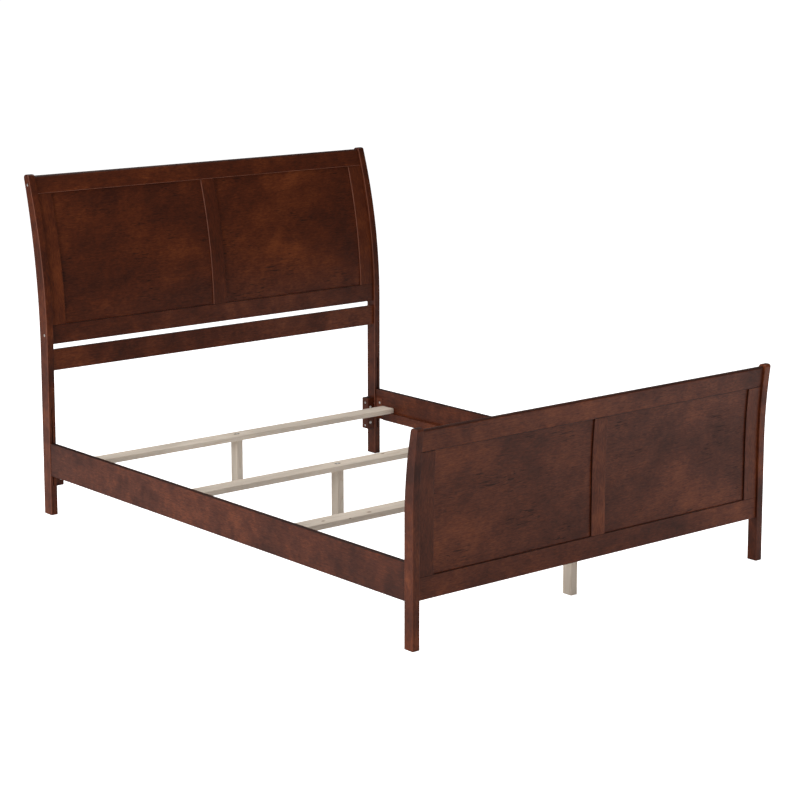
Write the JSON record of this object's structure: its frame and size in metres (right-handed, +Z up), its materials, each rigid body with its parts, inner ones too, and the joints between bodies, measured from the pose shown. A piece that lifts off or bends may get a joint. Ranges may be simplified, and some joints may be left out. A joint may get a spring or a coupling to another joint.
{
  "type": "sleigh bed",
  "caption": "Queen sleigh bed with curved frame-and-panel headboard and footboard, hook-on side rails, and pine slats with centre legs.",
  "frame": {"origin": "on the floor, at the middle of the bed's length and width", "axes": "+Z up, +Y from the footboard to the headboard, +X to the right when seen from the foot"},
  "size_m": [1.585, 2.2468, 1.268],
  "materials": {
    "walnut": "semi-gloss dark walnut stain with mottled figure",
    "walnut_panel": "semi-gloss dark walnut stain, grain across the panel",
    "pine": "unfinished planed pine",
    "steel": "bright zinc plating"
  },
  "bodies": {
    "root": {"headboard_post_left": "walnut", "headboard_post_right": "walnut", "footboard_post_left": "walnut", "footboard_post_right": "walnut", "headboard_top_rail": "walnut", "headboard_bottom_rail": "walnut", "headboard_lower_rail": "walnut", "headboard_stile_left": "walnut", "headboard_stile_centre": "walnut", "headboard_stile_right": "walnut", "headboard_panel_left": "walnut_panel", "headboard_panel_right": "walnut_panel", "footboard_top_rail": "walnut", "footboard_bottom_rail": "walnut", "footboard_stile_left": "walnut", "footboard_stile_centre": "walnut", "footboard_stile_right": "walnut", "footboard_panel_left": "walnut_panel", "footboard_panel_right": "walnut_panel", "side_rail_left": "walnut", "side_rail_right": "walnut", "slat_cleat_left": "walnut", "slat_cleat_right": "walnut", "corner_block_left": "walnut", "corner_block_right": "walnut", "slat_1": "pine", "slat_2": "pine", "slat_3": "pine", "slat_4": "pine", "centre_leg_1": "pine", "centre_leg_2": "pine", "centre_leg_3": "pine", "centre_leg_4": "pine", "leg_screw_1": "steel", "leg_screw_2": "steel", "leg_screw_3": "steel", "leg_screw_4": "steel", "frame_bolt_top_left": "steel", "frame_bolt_top_right": "steel", "frame_bolt_bottom_left": "steel", "frame_bolt_bottom_right": "steel", "block_bolt_low_left": "steel", "block_bolt_low_right": "steel", "block_bolt_high_left": "steel", "block_bolt_high_right": "steel", "hook_plate_head_left": "steel", "hook_plate_head_right": "steel", "hook_plate_foot_left": "steel", "hook_plate_foot_right": "steel", "plate_screw_head_left": "steel", "plate_screw_head_right": "steel", "plate_screw_foot_left": "steel", "plate_screw_foot_right": "steel", "hook_pin_head_left": "steel", "hook_pin_head_right": "steel", "hook_pin_foot_left": "steel", "hook_pin_foot_right": "steel"}
  },
  "joints": []
}
